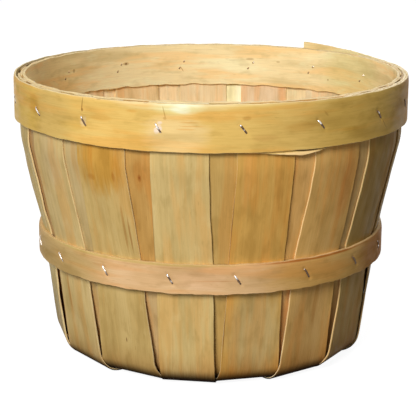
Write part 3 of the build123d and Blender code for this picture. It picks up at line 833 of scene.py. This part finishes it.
marks = [
    (-64, 182, 30, 30, 0, 0.7, 0.5, (234, 232, 186)),
    (-86, 182, 14, 36, 0, 0.7, 0.4, (232, 262, 330)),
    (80, 182, 24, 36, 0, 0.8, 0.8, (254, 238, 165)),
    (-48, 182, 26, 34, 0, 0.6, 0.6, (232, 236, 246)),
    # A wide, faint whitened patch at the front: the outer part of the painted highlight
    (-9, 178, 26, 17, 0, 1.0, 1.0, (268, 278, 330)),
    (-57, 186, 9, 8, 0, 0.5, 1.6, (230, 208, 140)),
    (-35.9, 193, 0.45, 5.5, 0.1, 0.75, 0.6, (135, 100, 55)),
    (-35.9, 189.5, 1.1, 1.4, 0, 0.6, 1.0, (150, 115, 65)),
    (-12, 192.5, 0.5, 4.5, -0.25, 0.55, 0.8, (185, 150, 100)),
    (-11.8, 188.6, 1.5, 1.2, 0, 0.4, 1.2, (190, 160, 120)),
    # Short dark strokes at the top edge: painted shade of the crevice between the hoop and the splint ends
    (-30.6, 197.6, 2.4, 0.5, 0, 0.7, 0.8, (130, 95, 55)),
    (-17, 197.7, 2.0, 0.4, 0, 0.7, 0.8, (140, 105, 60)),
    (-25, 197.8, 5.0, 0.3, 0, 0.4, 1.2, (150, 115, 70)),
    (-20.6, 192, 5.5, 1.2, 0, 0.45, 1.5, (236, 196, 140)),
    (-5.5, 186.4, 8, 0.6, 0, 0.5, 1.4, (236, 196, 140)),
    (-4.5, 184, 9, 0.5, 0, 0.45, 1.4, (236, 196, 140)),
    (-6.5, 182, 7, 0.6, 0, 0.45, 1.4, (240, 200, 145)),
    (9.2, 189, 3.2, 1.6, 0, 0.35, 1.4, (185, 155, 115)),
    (31.5, 189, 1.2, 2.2, -0.8, 0.3, 1.2, (170, 140, 95)),
    (55.3, 175, 0.35, 5.5, -0.9, 0.6, 0.6, (120, 90, 50)),
    # Painted highlight near the top edge at the front, in three whitened ovals; the long pale band along the
    # top edge after them is partly paler worn wood and partly painted highlight
    (-10, 198, 44, 7, 0, 0.6, 1.0, (264, 284, 350)),
    (-8.6, 195.6, 20, 6, 0, 0.7, 0.6, (266, 300, 350)),
    (-7.8, 194.6, 8, 3.4, 0, 0.6, 0.4, (262, 280, 330)),
    (-5, 198.4, 190, 2.4, 0, 0.6, 0.8, (262, 276, 320)),
    # Pale rings round the second and third staples: partly torn, whitish fibres, partly a painted glint
    (-35.6, 182.4, 3.0, 4.6, 0.3, 0.7, 3.4, (262, 280, 380)),
    (-13.6, 182.2, 2.6, 4.0, 0.3, 0.7, 3.0, (264, 284, 390)),
    (50, 182, 70, 34, 0, 0.6, 0.5, (238, 232, 196)),
    (78, 182, 50, 34, 0, 0.8, 0.5, (222, 196, 118)),
    (-30, 186, 10, 3, 0, 0.35, 1.4, (240, 210, 160)),
    (-40, 178, 14, 4, 0, 0.35, 1.4, (232, 228, 190)),
    (14, 176, 10, 3, 0, 0.3, 1.4, (235, 215, 215)),
    (24, 182, 16, 4, 0, 0.4, 1.4, (225, 200, 160)),
    (40, 176, 10, 3, 0, 0.35, 1.4, (230, 225, 180)),
]
marks = hoop_marks(marks, places_level, 360)
under_marks = [
    # Whitened strip on the hanging end of the under ply: partly its pale cut wood, partly painted light
    (24, 164, 40, 2.4, 0, 1.0, 0.3, (286, 300, 380)),
    # Dark line in the joint above it: the painted shadow of the over ply
    (26.5, 166.5, 11, 1.0, 0, 0.9, 0.4, (84, 60, 36)),
]
marks += hoop_marks(under_marks, places_level, 0)
looks = ((220, 182, 101), (220, 204, 152), 0.8, marks)
material = wood_material("top_hoop_veneer", 53, *looks, gloss=0.1, shine=0.07, streaks=0.1)
finish_piece(piece, "top_outer_hoop", material)

# Hoop staples
# Sixteen staples of the same wire round each hoop. They are driven from outside through hoop and
# splints, lower end deeper, and their ends are clinched inside.

crown_stand, sunk_depth = 0.0003, 0.0005
leg_inset, clinch_near, clinch_tip, clinch_lift = 0.0004, 0.001, 0.0024, 0.1
driven_samples, driven_smoothing = 106, 3
top_lap = (-21, 15)


def driven_staples(name, headings, level, leans, outer, inner):
    """A ring of staples, each bent from tip, clinched end, leg and crown to leg, end and tip.

    Outer is the radius of the crowns, and inner is that of the clinched ends, one for each staple.
    """
    end = staple_half_crown - leg_inset
    near, tip = end - clinch_near, end - clinch_tip
    run = [-tip, -near, -end, -end, end, end, near, tip]
    raised = [clinch_lift, 0, 0, 1, 1, 0, 0, clinch_lift]
    run, raised = bent_line([run, raised], driven_samples, driven_smoothing)
    heading = np.radians(headings)[:, None]
    out = np.concatenate([np.sin(heading), -np.cos(heading), 0 * heading], -1)
    right = np.concatenate([np.cos(heading), np.sin(heading), 0 * heading], -1)
    up = np.array([0, 0, 1.0])
    sine, cosine = np.sin(leans)[:, None], np.cos(leans)[:, None]
    sunk = sunk_depth * ease(-end, end, run) * raised
    radius = inner[:, None] + (outer - inner[:, None]) * raised - sunk
    points = out[:, None] * radius[..., None] + (right * sine - up * cosine)[:, None] * run[:, None]
    return wire_mesh(name, points + up * level, right * cosine + up * sine)


headings = staple_headings + middle_shifts
inner = np.full(staple_count, waist_radius - 2 * stack_pitch - 0.001)
outer = middle_radius + crown_stand
piece = driven_staples("middle_hoop_staples_wire", headings, middle_level, middle_leans, outer, inner)
finish_piece(piece, "middle_hoop_staples", steel)

headings = staple_headings + top_shifts
over_lap = (headings > top_lap[0]) & (headings < top_lap[1])
inner = inner_radius - hoop_thickness - 0.0001 - over_lap * (hoop_thickness + layer_fit)
outer = rim_radius + crown_stand
piece = driven_staples("top_hoop_staples_wire", headings, top_level, top_leans, outer, inner)
finish_piece(piece, "top_hoop_staples", steel)

# Studio
# A white floor, a soft key lamp from the front left, weak ones beside the camera and behind, and a
# faint even light all round. The camera stands in front, a little above the rim.

camera_place = (0, -0.9902, 0.3504)
camera_lens = 121.15
lamp_distance = 2.2
floor_reach, floor_level = 15, -0.0002
floor_grey, floor_glow, sky_strength = 0.2, 0.93, 0.19

camera = bpy.data.objects.new("camera", bpy.data.cameras.new("camera"))
bpy.context.scene.collection.objects.link(camera)
bpy.context.scene.camera = camera
camera.data.lens = camera_lens
camera.data.clip_end = 50.0
pitch, roll, yaw = 0.2511, 0.0047, -0.0018
forward = Vector((np.sin(yaw) * np.cos(pitch), np.cos(yaw) * np.cos(pitch), -np.sin(pitch)))
level_right = Vector((np.cos(yaw), -np.sin(yaw), 0))
level_up = level_right.cross(forward)
right = level_right * np.cos(roll) + level_up * np.sin(roll)
up = level_up * np.cos(roll) - level_right * np.sin(roll)
turned = Matrix((right, up, -forward)).transposed().to_4x4()
camera.matrix_world = Matrix.Translation(camera_place) @ turned


def lamp(name, heading, elevation, size, power):
    """A square soft lamp, aimed at the basket's middle from a heading and an elevation."""
    data = bpy.data.lights.new(name, "AREA")
    data.size, data.energy = size, power
    piece = bpy.data.objects.new(name, data)
    bpy.context.scene.collection.objects.link(piece)
    turn, rise = np.radians(heading), np.radians(elevation)
    away = Vector((np.sin(turn) * np.cos(rise), -np.cos(turn) * np.cos(rise), np.sin(rise)))
    aim = away.to_track_quat("Z", "Y").to_matrix().to_4x4()
    piece.matrix_world = Matrix.Translation(away * lamp_distance) @ aim


lamp("key_lamp", -22, 34, 0.7, 41)
lamp("front_lamp", -14, 6, 0.4, 8)
lamp("back_lamp", 160, 35, 1.0, 18)


def lit_plainly(tree, plain, real, output):
    """Shows one shader to the camera and to reflections, and lights the basket with another."""
    path = add(tree, "LightPath").outputs
    seen = maths(tree, "MAXIMUM", path["Is Glossy Ray"], path["Is Transmission Ray"])
    seen = maths(tree, "MAXIMUM", path["Is Camera Ray"], seen)
    surface = add(tree, "MixShader", {0: seen, 1: real.outputs[0], 2: plain.outputs[0]}).outputs[0]
    tree.links.new(surface, add(tree, output).inputs["Surface"])


floor_mesh = bpy.data.meshes.new("floor")
corners = [(x * floor_reach, y * floor_reach, floor_level) for x, y in ((-1, -1), (1, -1), (1, 1), (-1, 1))]
floor_mesh.from_pydata(corners, [], [(0, 1, 2, 3)])
floor = bpy.data.objects.new("floor", floor_mesh)
bpy.context.scene.collection.objects.link(floor)
white = bpy.data.materials.new("floor_white")
white.use_nodes = True
tree = white.node_tree
tree.nodes.clear()
shown = add(tree, "BsdfDiffuse", {"Color": (floor_grey, floor_grey, floor_grey, 1)}).outputs[0]
glow = add(tree, "Emission", {"Color": (1, 1, 1, 1), "Strength": floor_glow}).outputs[0]
plain = add(tree, "AddShader", {0: shown, 1: glow})
lit_plainly(tree, plain, add(tree, "BsdfDiffuse", {"Color": (0.12, 0.11, 0.1, 1)}), "OutputMaterial")
floor_mesh.materials.append(white)

world = bpy.data.worlds.new("studio")
bpy.context.scene.world = world
world.use_nodes = True
tree = world.node_tree
tree.nodes.clear()
plain = add(tree, "Background", {"Color": (1, 1, 1, 1), "Strength": 1.0})
sky = add(tree, "Background", {"Color": (1, 0.99, 0.97, 1), "Strength": sky_strength})
lit_plainly(tree, plain, sky, "OutputWorld")
bpy.context.scene.view_settings.view_transform = "Standard"
